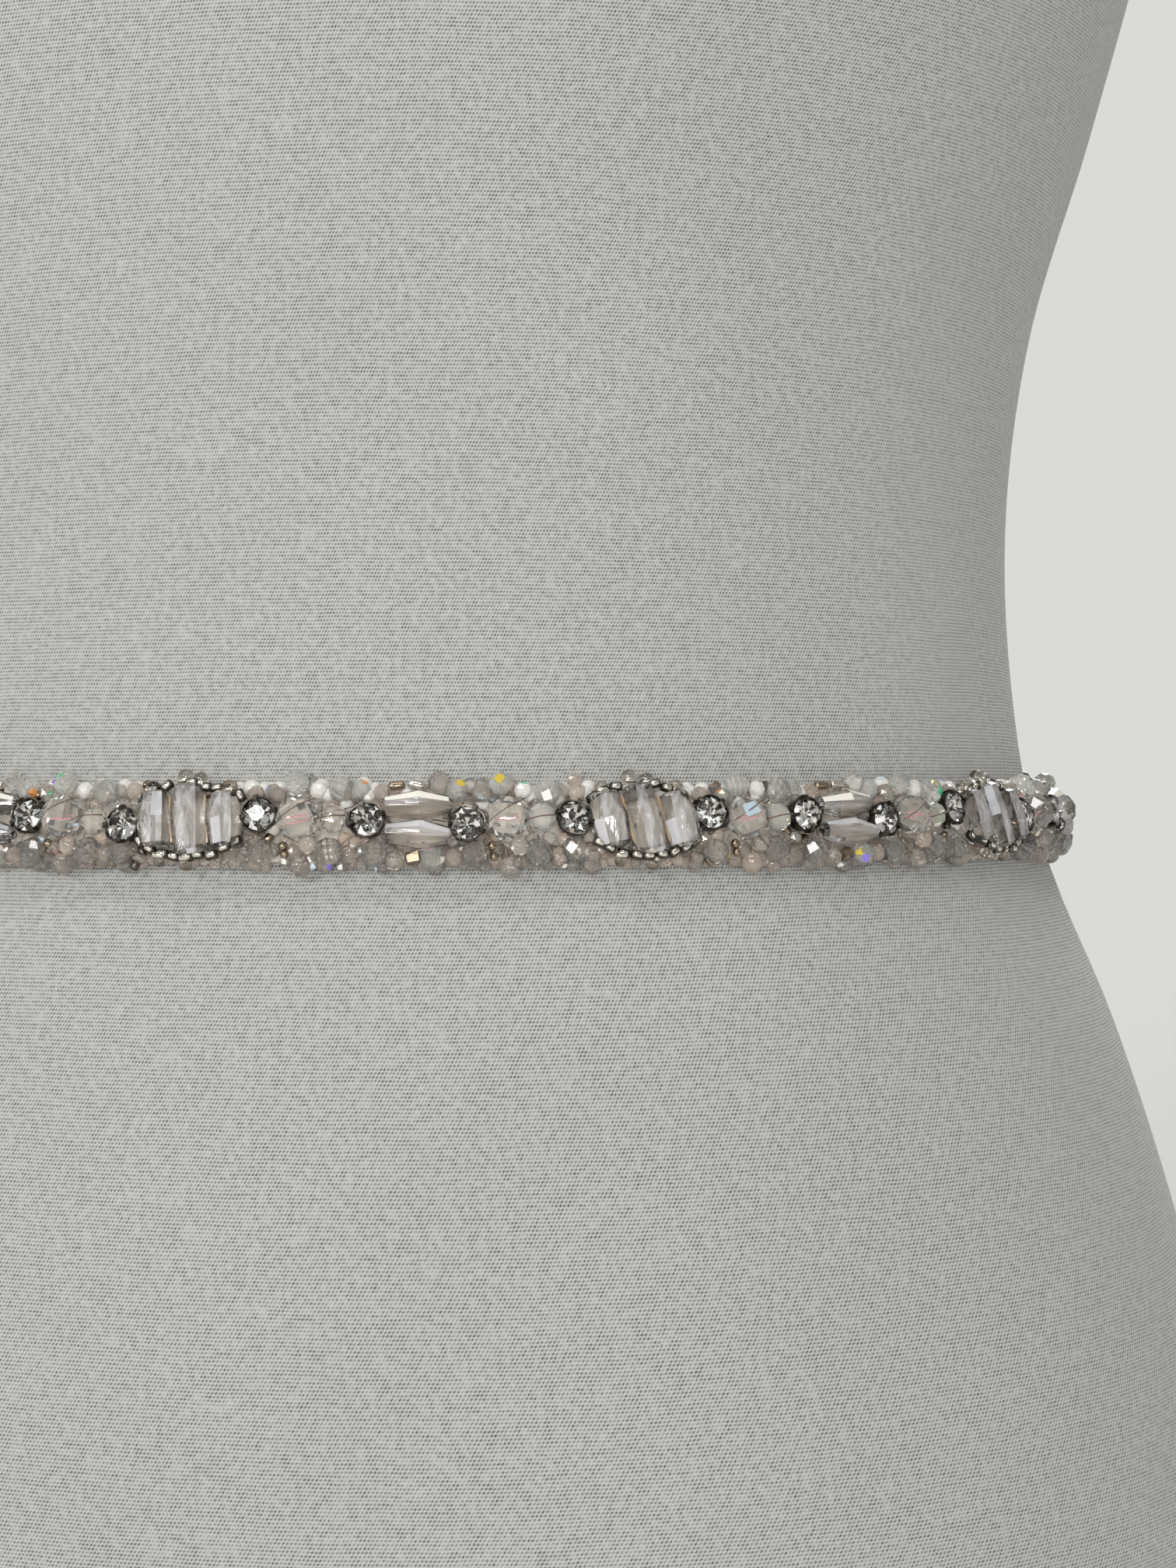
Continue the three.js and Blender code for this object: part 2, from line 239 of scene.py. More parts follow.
jersey = Finish("jersey", Roughness=0.85, Sheen_Weight=0.25, Sheen_Roughness=0.5)
stitch_map = jersey.node("ShaderNodeUVMap", {"uv_map": "stitches"}, {})
place = jersey.on_object()
across_wale = jersey.node("ShaderNodeSeparateXYZ", {}, {0: stitch_map}, output=0)
level_course = jersey.node("ShaderNodeSeparateXYZ", {}, {0: stitch_map}, output=1)
up_course = level_course + jersey.noise(place, 90.0) * 0.8
stagger = (across_wale + up_course * 0.5) * FULL_TURN
furrow = ((up_course * FULL_TURN - stagger.sine() * 1.2).cosine() * 0.5 + 0.5) ** 2.0
hole = furrow * ((stagger.cosine() * 0.5 + 0.5) * 0.5 + 0.5)
uneven = jersey.noise(place, 1900.0, 3.0)
mottled = jersey.noise(place, 1050.0, 3.0)
cloudy = jersey.noise(place, 18.0)
# Painted shade in the stitch holes and furrows, uneven at random; the same pattern gives the bump.
shade = hole * (uneven * 1.5 + 0.2) * (mottled * 2.4 - 0.15)
yarn = jersey.mix(cloudy, *YARN_COLOURS)
jersey.set(Base_Color=jersey.mix(shade * 0.92, yarn, PAINTED_HOLE_SHADE))
jersey.set(Normal=jersey.bump(1 - shade, HOLE_DEPTH, 0.7))


def form_loops():
    """The form's rings, rounded at the rim of the neck and of the flat underside."""
    turns = np.radians(np.linspace(0, 90, 7))
    drop = FORM_EDGE_RADIUS * (1 - np.sin(turns))
    inset = FORM_EDGE_RADIUS * (1 - np.cos(turns))
    middle = np.arange(FORM_EDGE_RADIUS + FORM_STEP, FORM_HEIGHT - FORM_EDGE_RADIUS - 1, FORM_STEP)
    heights = np.concatenate([drop[::-1], middle, (FORM_HEIGHT - drop)])
    insets = np.concatenate([inset[::-1], np.zeros(len(middle)), inset])
    angles = np.linspace(0, 2 * math.pi, FORM_SIDES, endpoint=False)
    loops = on_form(angles[None, :], heights[:, None])
    flat = np.linalg.norm(loops[..., :2], axis=-1, keepdims=True)
    loops[..., :2] *= 1 - insets[:, None, None] / flat
    return loops


points, triangles = loft(form_loops())
form = make_piece("form_jersey", points, triangles, [jersey])
stitches = form.data.uv_layers.new(name="stitches")
corner_points = points[triangles.ravel()]
corner_turn = (np.arctan2(corner_points[:, 0], -corner_points[:, 1]) / FULL_TURN).reshape(-1, 3)
behind = (corner_turn.max(1) - corner_turn.min(1) > 0.5)[:, None]
corner_turn = np.where(behind & (corner_turn < 0), corner_turn + 1, corner_turn)
stitch_uv = np.stack([corner_turn.ravel() * STITCHES_ROUND, corner_points[:, 2] / COURSE], 1)
rises = np.ptp(corner_points[:, 2].reshape(-1, 3), axis=1)
level = np.repeat(rises < LEVEL_WITHIN, 3)  # the neck's top and the underside
stitch_uv[level] = corner_points[level, :2] / COURSE
stitches.data.foreach_set("uv", stitch_uv.ravel())
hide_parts("dress_form")


# The ribbon: one length of narrow ivory satin round the waist, under the beading. It shows only behind,
# where it runs plain from the last motif on each side into the knot.
BELT_HEIGHT = 235
RIBBON_WIDTH = 11
RIBBON_INSIDE = 0.35
RIBBON_THICK = 0.8
KNOT_HALF_WIDTH = 6.6
KNOT_HALF_HEIGHT = 8
RIBBON_OUTSIDE = 1.3  # where the beads start, out from the form
BEADED_REACH = 252  # the beads' stitching draws the ribbon in up to here, along from the centre front
DRAWN_IN = 0.08  # of its width
RIBBON_TUCK = 1.5  # how far each end goes into the knot
PINCH_LENGTH = 14  # over which it narrows to the knot
PINCHED = 0.55  # of its width
RUMPLE = 0.35  # the creases' rise by the knot

turn_steps = np.linspace(0, 2 * math.pi, 4321)
waist = on_form(turn_steps, BELT_HEIGHT)
waist_lengths = np.concatenate([[0], np.cumsum(np.linalg.norm(np.diff(waist, axis=0), axis=1))])
HALF_WAIST = waist_lengths[-1] / 2
side_rise = on_form(math.pi / 2, BELT_HEIGHT + 5) - on_form(math.pi / 2, BELT_HEIGHT - 5)
WAIST_SLOPE = side_rise[2] / np.linalg.norm(side_rise)


def over(along, height, out):
    """A point over the form: along the waist from the centre front, up from the floor, and out."""
    along = np.asarray(along, float)
    angle = np.sign(along) * np.interp(np.abs(along), waist_lengths, turn_steps)
    return on_form(angle, height) + form_normal(angle, height) * np.asarray(out, float)[..., None]


def on_sash(along, up, out):
    """The same, with up counted from the ribbon's middle."""
    return over(along, BELT_HEIGHT + np.asarray(up, float) * WAIST_SLOPE, out)


def ribbon_section(half, thick, count=9):
    """Places across a ribbon and heights through it, round its rounded section."""
    across = np.cos(np.linspace(0, math.pi, count))
    top = np.stack([across * half, np.full(count, thick)], 1)
    under = np.stack([-across * half, np.zeros(count)], 1)
    top[[0, -1], 1] = thick * 0.7
    under[[0, -1], 1] = thick * 0.3
    return np.concatenate([top, under])


satin = Finish("ivory_satin", Roughness=0.38, Sheen_Weight=0.4, Sheen_Tint=(1.0, 0.97, 0.93))
stretched = satin.node("ShaderNodeMapping", {}, {"Vector": satin.on_object(), "Scale": (1.0, 1.0, 9.0)})
threads = satin.noise(stretched, 700.0)
satin.set(Base_Color=satin.mix(threads, (0.64, 0.585, 0.505), (0.74, 0.69, 0.61)))
satin.set(Normal=satin.bump(threads, 0.00006, 0.5))

reach = HALF_WAIST - KNOT_HALF_WIDTH + RIBBON_TUCK
section = ribbon_section(RIBBON_WIDTH / 2, RIBBON_THICK)
along = np.linspace(-reach, reach, 320)
pinch = np.clip((reach - np.abs(along)) / PINCH_LENGTH, 0, 1)
drawn_in = DRAWN_IN * np.clip((BEADED_REACH - np.abs(along)) / 6, 0, 1)
width_share = PINCHED + (1 - PINCHED) * pinch * (2 - pinch) - drawn_in
rumple = RUMPLE * np.sin(along * 0.35) * np.exp(-((HALF_WAIST - np.abs(along)) / 22) ** 2)
loops = on_sash(
    along[:, None], section[None, :, 0] * width_share[:, None],
    RIBBON_INSIDE + section[None, :, 1] + (rumple + RUMPLE)[:, None] * (pinch < 1)[:, None],
)
points, triangles = loft(loops)
ribbon = make_piece("satin_ribbon", points, triangles, [satin])
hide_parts("ribbon_band")


# The beads, stones, cups and threads that every motif is sewn from. Each motif is one joined piece, and
# each kind of bead in it keeps its own finish: clear cut glass, glass with a thin coat, blush opal,
# lined seeds, dark silver cups, foil behind the stones, and brown thread.
CLEAR_GLASS = {"Transmission_Weight": 1.0, "Roughness": 0.015, "IOR": 1.54}
finishes = {
    "clear": Finish(
        "clear_crystal", Base_Color=(1.0, 0.985, 0.955), Transmission_Weight=0.95, Roughness=0.01, IOR=1.56,
    ),
    "streaked": Finish("streaked_crystal", **CLEAR_GLASS),
    "smoky": Finish("smoky_glass", Base_Color=(0.78, 0.745, 0.68), **CLEAR_GLASS),
    "coated": Finish(
        "coated_crystal", Base_Color=(1.0, 0.985, 0.96), Thin_Film_Thickness=420.0, Thin_Film_IOR=1.72,
        Transmission_Weight=0.84, Roughness=0.015, IOR=1.54,
    ),
    "white": Finish(
        "white_glass", Base_Color=(1.0, 0.97, 0.915), Transmission_Weight=0.40, Roughness=0.02, IOR=1.6,
    ),
    "lilac": Finish("lilac_crystal", Transmission_Weight=0.72, Roughness=0.04, IOR=1.52),
    "lilac_drop": Finish("lilac_drop", Transmission_Weight=0.78, Roughness=0.04, IOR=1.52),
    "rose": Finish("rose_crystal", **CLEAR_GLASS),
    "opal": Finish("blush_opal", Transmission_Weight=0.85, Roughness=0.02, IOR=1.56),
    "milky": Finish("milky_glass", Transmission_Weight=0.93, Roughness=0.02, IOR=1.56),
    # A half-clear grey facet of painted sheen.
    "silk": Finish("silky_facet", Base_Color=(0.80, 0.80, 0.84), Transmission_Weight=0.5, Roughness=0.08),
    "silver_lined": Finish(
        "silver_lined_seed", Base_Color=(0.70, 0.66, 0.58), Metallic=1.0, Roughness=0.18,
    ),
    "brass_lined": Finish(
        "brass_lined_seed", Base_Color=(0.30, 0.24, 0.17), Metallic=0.95, Roughness=0.16,
    ),
    "amber": Finish("amber_rod", Base_Color=(0.80, 0.58, 0.36), Transmission_Weight=0.5, Roughness=0.15),
    "dark_silver": Finish("dark_silver_cup", Metallic=1.0),
    "stone": Finish("cut_stone", Base_Color=(0.97, 0.97, 0.95), **CLEAR_GLASS),
    # Foil and shaded foil are laid facet by facet as painted light and dark reflections.
    "foil": Finish("stone_foil", Base_Color=(1.0, 0.99, 0.95), Metallic=0.45, Roughness=0.10),
    "dark_foil": Finish("shaded_foil", Base_Color=(0.065, 0.052, 0.04), Metallic=1.0, Roughness=0.05),
    "thread": Finish("brown_thread", Base_Color=(0.14, 0.085, 0.055), Roughness=0.6),
    "flash_gold": Finish("flash_gold", Base_Color=(0.95, 0.72, 0.10), Metallic=0.6, Roughness=0.08),
    "flash_green": Finish("flash_green", Base_Color=(0.15, 0.85, 0.45), Metallic=0.6, Roughness=0.08),
    "flash_violet": Finish("flash_violet", Base_Color=(0.30, 0.22, 0.75), Metallic=0.6, Roughness=0.08),
    "flash_orange": Finish("flash_orange", Base_Color=(0.95, 0.42, 0.14), Metallic=0.6, Roughness=0.08),
    "flash_rose": Finish("flash_rose", Base_Color=(0.92, 0.45, 0.50), Metallic=0.5, Roughness=0.08),
    "flash_blue": Finish("flash_blue", Base_Color=(0.70, 0.86, 0.97), Metallic=0.6, Roughness=0.08),
    "flash_cream": Finish("flash_cream", Base_Color=(1.0, 0.965, 0.88), Metallic=0.35, Roughness=0.12),
}
# The flashes are painted on single facets: cream ones are painted highlights, the coloured ones painted
# reflections of a coating.
FLASHES = [
    "flash_cream", "flash_cream", "flash_cream", "flash_blue", "flash_blue", "flash_rose", "flash_gold",
    "flash_green", "flash_violet", "flash_orange",
]
PALE_FLASHES = ["flash_cream", "flash_cream", "flash_blue"]
for name, deep, pale in [
    ("opal", (0.95, 0.81, 0.71), (1.0, 0.93, 0.855)),
    ("milky", (0.98, 0.91, 0.84), (1.0, 0.97, 0.925)),
]:
    glass = finishes[name]
    cloud = glass.noise(glass.on_object(), 260.0)
    glass.set(Base_Color=glass.mix(cloud, deep, pale))
UPRIGHT_STREAKS, LEVEL_STREAKS = (1.0, 1.0, 0.10), (0.10, 0.10, 1.0)
STREAKS_FINE, STREAK_DEPTH = 1600.0, 0.0001
# Light and dark streaks in these crystals' base colour are painted reflections; the same streaks also give a
# fine bump.
for name, stretch, deep, pale in [
    ("streaked", UPRIGHT_STREAKS, (0.78, 0.75, 0.73), (1.0, 0.99, 0.98)),
    ("lilac", UPRIGHT_STREAKS, (0.50, 0.48, 0.47), (0.98, 0.975, 1.0)),
    ("rose", LEVEL_STREAKS, (0.70, 0.65, 0.62), (0.99, 0.965, 0.94)),
    ("lilac_drop", LEVEL_STREAKS, (0.42, 0.39, 0.38), (0.98, 0.965, 0.985)),
]:
    glass = finishes[name]
    drawn_out = glass.node("ShaderNodeMapping", {}, {"Vector": glass.on_object(), "Scale": stretch})
    reflection_streak = glass.noise(drawn_out, STREAKS_FINE, 3.0)
    glass.set(Base_Color=glass.mix(reflection_streak * 4.0 - 1.5, deep, pale))
    glass.set(Normal=glass.bump(reflection_streak, STREAK_DEPTH, 0.7))
tarnish = finishes["dark_silver"]
grime = tarnish.noise(tarnish.on_object(), 1100.0, 4.0)
tarnish.set(Base_Color=tarnish.mix(grime, (0.012, 0.010, 0.008), (0.17, 0.15, 0.125)))
tarnish.set(Roughness=0.16 + grime * 0.25, Normal=tarnish.bump(grime, 0.00008, 0.6))
finish_order = {name: i for i, name in enumerate(finishes)}


def cut_glass(places, radii, turns, sides):
    """A faceted bead along its hole: rings of points, each turned by its share of a side."""
    angles = FULL_TURN * (np.arange(sides)[None, :] + np.array(turns)[:, None]) / sides
    rings = np.stack([
        np.broadcast_to(np.array(places, float)[:, None], angles.shape),
        np.array(radii)[:, None] * np.cos(angles), np.array(radii)[:, None] * np.sin(angles),
    ], -1)
    faces = []
    for ring in range(len(places) - 1):
        for j in range(sides):
            a, b = ring * sides + j, ring * sides + (j + 1) % sides
            c, d = a + sides, b + sides
            if turns[ring + 1] < turns[ring]:
                faces += [(a, d, c), (a, b, d)]
            else:
                faces += [(a, b, c), (c, b, d)]
    first, last = 0, (len(places) - 1) * sides
    for j in range(1, sides - 1):
        faces += [(first, first + j + 1, first + j), (last, last + j, last + j + 1)]
    points = rings.reshape(-1, 3)
    return points, outward(points, np.array(faces))


def round_profile(count, flat_end=0.0):
    """Places along a round bead and its radii there, cut off flat at the hole."""
    turns = np.linspace(flat_end, math.pi - flat_end, count)
    return -np.cos(turns), np.sin(turns)


BEAD_SHAPES = {
    # places along the hole, radii there, the share of a side that each ring is turned, sides, smooth
    "round_cut": ([-0.94, -0.6, 0, 0.6, 0.94], [0.36, 0.82, 1, 0.82, 0.36], [0] * 5, 8, False),
    "star_cut": ([-0.9, -0.56, 0, 0.56, 0.9], [0.42, 0.83, 1, 0.83, 0.42], [0, 0.5, 0, 0.5, 0], 8, False),
    "wheel_cut": ([-0.62, -0.36, 0.36, 0.62], [0.5, 0.96, 0.96, 0.5], [0, 0.5, 0, 0.5], 9, False),
    "upright_cut": ([-1, -0.9, 0, 0.9, 1], [0.6, 0.85, 1, 0.85, 0.6], [0, 0, 0.12, 0.3, 0.3], 11, False),
    "drop_cut": ([-1, -0.9, 0.06, 0.9, 1], [0.34, 0.6, 1, 0.54, 0.3], [0, 0, 0.2, 0.5, 0.5], 11, False),
    "round": (*round_profile(9, 0.28), [0] * 9, 14, True),
    "tube": ([-0.5, -0.42, 0.42, 0.5], [0.32, 0.5, 0.5, 0.32], [0] * 4, 6, False),
    "seed": ([-0.5, -0.46, -0.36, 0.36, 0.46, 0.5], [0.3, 0.42, 0.5, 0.5, 0.42, 0.3], [0] * 6, 12, True),
}
SHAPES = {name: (cut_glass(*rings), smooth) for name, (*rings, smooth) in BEAD_SHAPES.items()}


# The stones and the sewing. Each stone is cut glass with a foil behind it, held by four claws in a dark
# silver cup. Small beads fill the ribbon and its edges wherever no larger one lies, among short threads.
STONE_SIDES = 8
STONE_RADIUS = 2.2
STONE_OUT = 3.2
STONE_LEAN = 0.12
DARK_FOIL_SHARE = 0.2
CUP_RISES = [0.5, -0.75, 0.75, 0.0, -0.5, 0.3, 0.9, 0.6, -0.3, 1.5, 0.0]  # above the ribbon's middle
FIRST_CUP = 15  # counted from the left end of the beading, the cup that the first of these rises is for
CLAW_BENDS = [  # out from the stone's middle, height, half width, half thickness
    (1.04, -0.5, 0.17, 0.10), (1.15, 0.05, 0.16, 0.09), (1.06, 0.25, 0.14, 0.07), (0.80, 0.34, 0.10, 0.05),
]
EDGE_ROWS = [-5.2, -4.0, 4.9]  # close rows of the smallest beads, up from the ribbon's middle
EDGE_PITCH = 1.45
EDGE_BEAD = (0.85, 1.0)  # least and largest half size
FILL_ROWS = [-5.35, -4.0, -2.4, -0.8, 0.8, 2.4, 3.8, 5.1]  # looser rows over the whole ribbon
FILL_PITCH = 1.8
FILL_BEAD, FILL_BEAD_AT_EDGE = (0.95, 1.2), (1.1, 1.4)
FILL_SEED = (1.5, 1.2, 1.2)
HEADINGS = (0, 3)  # a bead whose hole can lie any way
# Brass-lined seeds among them are partly real lined seeds, partly painted brown shade between the beads.
FILL_FINISHES = ["clear", "milky", "opal", "brass_lined", "dark_silver"]
FILL_SHARES = [0.36, 0.33, 0.21, 0.05, 0.05]
# White beads grow commoner higher up: a painted lighter top, standing in for light from above.
WHITE_SHARE, TOP_LIGHT_WHITE_RISE = 0.24, 0.12  # of the pale beads at the ribbon's middle, and more for each mm up
CUT_SHARE = 0.42  # of these beads, and the rest are round
FLASH_SHARE, BRIGHT_SHARE = 0.6, 0.3  # of the cut ones, with a flash, and of those, of any colour
EDGE_COVER = 0.65  # beads at the edge go this near to a larger one
LARGE_BEAD = 1.0  # the half size from which a bead keeps smaller ones off
COVERED_SHARE = 0.85  # of its half size across
FRONT_FACET = 0.9  # how far out a facet looks that takes the foremost finish
FLASH_FACETS = (0.45, 0.97)  # and one that can flash
THREAD_RADIUS = 0.09
# Random threads: partly real sewing, partly painted shade in the gaps between beads.
THREADS_AND_GAP_SHADE_PER_MM = 1.9
FILL_THREAD = {"out": 1.7, "sag": 0.5, "shortest": 1.4, "longest": 2.8}


def stone_shape():
    """A flat table, stars, kites and girdle facets above, and a faceted cone below."""
    turn = FULL_TURN * np.arange(2 * STONE_SIDES) / (2 * STONE_SIDES)
    on, between = turn[::2], turn[1::2]
    rings = [(0.50, 0.40, on), (0.78, 0.26, between), (1.0, 0.05, turn), (1.0, -0.03, turn)]
    points = [np.stack([r * np.cos(t), r * np.sin(t), np.full(len(t), h)], -1) for r, h, t in rings]
    points = np.concatenate([*points, [(0, 0, -0.60)]])
    star, girdle, under, tip = STONE_SIDES, 2 * STONE_SIDES, 4 * STONE_SIDES, 6 * STONE_SIDES
    faces = [(0, j, j + 1) for j in range(1, STONE_SIDES - 1)]
    for j in range(STONE_SIDES):
        after, before = (j + 1) % STONE_SIDES, (j - 1) % STONE_SIDES
        rim, rim_next = girdle + 2 * j, girdle + (2 * j + 2) % (2 * STONE_SIDES)
        faces += [(j, star + j, after), (j, rim, star + j), (j, star + before, rim)]
        faces += [(star + j, rim, rim + 1), (star + j, rim + 1, rim_next)]
    for i in range(2 * STONE_SIDES):
        k = (i + 1) % (2 * STONE_SIDES)
        faces += [(girdle + i, under + i, under + k), (girdle + i, under + k, girdle + k)]
        faces += [(under + i, tip, under + k)]
    return points, np.array(faces)


def turned(profile, sides, lobes=0.0):
    """A closed body turned round the outward axis, with a rim that can swell four times round."""
    angles = FULL_TURN * np.arange(sides) / sides
    swell = 1 + lobes * np.cos(4 * angles)
    loops = [np.stack([r * swell * np.cos(angles), r * swell * np.sin(angles), np.full(sides, h)], -1)
             for r, h in profile]
    return loft(np.array(loops))


def claw(angle):
    """A tapered prong that rises from the cup and folds over the stone."""
    loops = []
    for reach, height, wide, thick in CLAW_BENDS:
        square = [(-thick, -wide), (thick, -wide), (thick, wide), (-thick, wide)]
        loops.append([(reach + a, b, height + a * 0.6) for a, b in square])
    points, faces = loft(np.array(loops))
    cos, sin = math.cos(angle), math.sin(angle)
    spin = np.array([[cos, sin, 0], [-sin, cos, 0], [0, 0, 1]])
    return points @ spin, faces


def together(bodies):
    """The points and faces of several bodies as one."""
    points, faces, start = [], [], 0
    for body_points, body_faces in bodies:
        points.append(body_points)
        faces.append(body_faces + start)
        start += len(body_points)
    return np.concatenate(points), np.concatenate(faces)


FOIL_PROFILE = [(0.03, -0.66), (0.38, -0.50), (0.72, -0.22), (0.98, -0.10), (1.0, -0.12), (0.03, -0.72)]
CUP_PROFILE = [
    (0.3, -1.15), (0.85, -1.12), (1.02, -0.75), (1.06, -0.30), (1.15, 0.00), (1.13, 0.09), (1.04, 0.07),
    (1.03, -0.14), (0.3, -0.74),
]
SHAPES["stone"] = (stone_shape(), False)
SHAPES["foil"] = (turned(FOIL_PROFILE, 2 * STONE_SIDES), False)
claws = [claw(math.pi / 4 + k * math.pi / 2) for k in range(4)]
SHAPES["cup"] = (together([turned(CUP_PROFILE, 24, 0.035)] + claws), False)


class Beadwork:
    """The beads of one motif, gathered into one joined piece."""

    def __init__(self, centre, seed):
        self.centre, self.chance = centre, np.random.default_rng(seed)
        self.points, self.faces, self.finish, self.smooth, self.count = [], [], [], [], 0
        self.covered = []

    def place(self, along, up):
        """The sash's point there, with its directions along, up and out."""
        s = self.centre + along
        near = on_sash(np.array([s - 0.05, s, s + 0.05]), up, 0.0)
        along_it = (near[2] - near[0]) / np.linalg.norm(near[2] - near[0])
        angle = float(np.sign(s) * np.interp(abs(s), waist_lengths, turn_steps))
        out = form_normal(angle, BELT_HEIGHT + up * WAIST_SLOPE)
        upward = np.cross(out, along_it)
        return near[1], along_it, upward / np.linalg.norm(upward), out

    def put(self, points, faces, finish, smooth):
        """Adds a body whose points are in the form's own millimetres."""
        self.points.append(points)
        self.faces.append(faces + self.count)
        self.count += len(points)
        self.finish.append(np.broadcast_to(finish, len(faces)))
        self.smooth.append(np.full(len(faces), smooth))

    def add(self, shape, finish, along, up, out, size, heading=0.0, roll=None, lean=0.0, flashes=0,
            among=FLASHES, up_facing_highlight=False, face=None):
        """A bead: its middle's place, with out from the ribbon, its half sizes, and how it is turned.

        Of its facets, pairs that look out, or those that face up and out, can take a painted flash of light
        and colour, and the foremost another finish.
        """
        (unit, faces), smooth = SHAPES[shape]
        size = np.broadcast_to(size, 3)
        roll = self.chance.uniform(0, FULL_TURN) if roll is None else roll
        cos, sin = math.cos(roll), math.sin(roll)
        rolled = unit @ np.array([[1, 0, 0], [0, cos, sin], [0, -sin, cos]]) * size
        cos, sin = math.cos(lean), math.sin(lean)
        rolled = rolled @ np.array([[cos, 0, sin], [0, 1, 0], [-sin, 0, cos]])
        base, along_it, upward, outside = self.place(along, up)
        cos, sin = math.cos(heading), math.sin(heading)
        axes = np.array([cos * along_it + sin * upward, cos * upward - sin * along_it, outside])
        points = base + outside * (RIBBON_OUTSIDE + out) + rolled @ axes
        kinds = np.full(len(faces), finish_order[finish])
        a, b, c = (points[faces[:, k]] for k in range(3))
        normals = np.cross(b - a, c - a)
        facing = normals @ outside / np.linalg.norm(normals, axis=1)
        if face:
            kinds[facing > FRONT_FACET] = finish_order[face]
        if flashes:
            least, most = FLASH_FACETS
            showing = np.unique(np.flatnonzero((facing > least) & (facing < most)) // 2) * 2
            # Those that face up and out, where the light falls, take the painted highlight first.
            if up_facing_highlight:
                height = normals @ (0.6 * upward + 0.8 * outside) / np.linalg.norm(normals, axis=1)
                showing = showing[np.argsort(-height[showing])][:flashes]
            for pair in self.chance.choice(showing, min(flashes, len(showing)), replace=False):
                kinds[pair:pair + 2] = finish_order[self.chance.choice(among)]
        self.put(points, faces, kinds, smooth)
        if size.max() > LARGE_BEAD:
            reach = max(0.0, float(size[0] - size[1]))
            for step in np.arange(-reach, reach + 0.1, 1.0):
                self.covered.append((along + cos * step, up + sin * step, float(size[1]) * COVERED_SHARE))

    def stone(self, along, count):
        """A stone in its cup, higher or lower and a little tilted as it was sewn.

        Its foil is laid facet by facet as painted light and dark reflections, and a few crown facets take
        it as painted highlights.
        """
        up = CUP_RISES[(count - FIRST_CUP) % len(CUP_RISES)]
        heading, lean = self.chance.uniform(0, FULL_TURN), self.chance.uniform(-STONE_LEAN, STONE_LEAN)
        for shape, finish in [("cup", "dark_silver"), ("foil", "foil"), ("stone", "stone")]:
            self.add(shape, finish, along, up, STONE_OUT, STONE_RADIUS, heading, 0.0, lean)
            if shape == "foil":
                half = (len(FOIL_PROFILE) - 1) * 2 * STONE_SIDES
                facet = np.arange(len(self.faces[-1])) % half
                ring = facet // (2 * STONE_SIDES)
                dark = ((facet + ring) % 2 == 0) ^ (self.chance.random(half) < DARK_FOIL_SHARE)[facet]
                dark |= (self.chance.random(half) < DARK_FOIL_SHARE)[facet]
                self.finish[-1] = np.where(dark, finish_order["dark_foil"], finish_order["foil"])
        # A few crown facets take the foil too: painted highlights.
        crown = np.arange(STONE_SIDES - 2, 6 * STONE_SIDES - 2)
        bright = self.chance.choice(crown, self.chance.integers(5, 10), replace=False)
        self.finish[-1] = self.finish[-1].copy()
        self.finish[-1][bright] = finish_order["foil"]

    def thread(self, start, end, out, sag=0.5):
        """A length of thread between two places on the sash."""
        steps = np.linspace(0, 1, 7)
        loops = []
        for step in steps:
            along, up = (start[k] + (end[k] - start[k]) * step for k in range(2))
            base, along_it, upward, outside = self.place(along, up)
            height = RIBBON_OUTSIDE + out + sag * math.sin(math.pi * step)
            across = upward if abs(end[0] - start[0]) > abs(end[1] - start[1]) else along_it
            across = across * THREAD_RADIUS
            loops.append([
                base + outside * (height + THREAD_RADIUS * math.sin(t)) + across * math.cos(t)
                for t in FULL_TURN * np.arange(4) / 4
            ])
        points, faces = loft(np.array(loops))
        self.put(points, faces, finish_order["thread"], True)

    def fill(self, low, high, inside_ring=False):
        """Small beads close together over the ribbon and its edges, wherever no larger bead lies."""
        for up in EDGE_ROWS:
            for along in np.arange(low + 0.6, high - 0.4, EDGE_PITCH):
                # The top edge row takes white beads and the bottom one none: painted light from above.
                tint = self.chance.choice(["opal", "milky"] if up < 0 else ["opal", "white", "white"])
                self.add("star_cut", tint, along + self.chance.normal(0, 0.15),
                         up + self.chance.normal(0, 0.25), 0.35, self.chance.uniform(*EDGE_BEAD))
        for row, up in enumerate(FILL_ROWS):
            at_edge = row in (0, len(FILL_ROWS) - 1)
            for along in np.arange(low + 0.9 + 0.8 * (row % 2), high - 0.6, FILL_PITCH):
                a = along + self.chance.normal(0, 0.22)
                u = up + self.chance.normal(0, 0.35 if at_edge else 0.2)
                if inside_ring and abs(a) < 6.6 and abs(u) > 4.4:
                    continue
                near = EDGE_COVER if at_edge else 1
                if any(math.hypot(a - x, u - y) < r * near for x, y, r in self.covered):
                    continue
                finish = self.chance.choice(FILL_FINISHES, p=FILL_SHARES)
                # More white beads higher up paint the top rows lighter, as if lit from above.
                if finish in ("clear", "milky") and self.chance.random() < WHITE_SHARE + TOP_LIGHT_WHITE_RISE * up:
                    finish = "white"
                if finish in ("brass_lined", "dark_silver"):
                    self.add("seed", finish, a, u, 1.4, FILL_SEED, self.chance.uniform(*HEADINGS))
                    continue
                size = self.chance.uniform(*(FILL_BEAD_AT_EDGE if at_edge else FILL_BEAD))
                out = size - 0.6 if at_edge else size + self.chance.uniform(0, 0.5)
                shape = "star_cut" if self.chance.random() < CUT_SHARE else "round"
                self.add(shape, finish, a, u, out, size, self.chance.uniform(*HEADINGS),
                         among=FLASHES if self.chance.random() < BRIGHT_SHARE else PALE_FLASHES,
                         flashes=int(shape == "star_cut" and self.chance.random() < FLASH_SHARE))
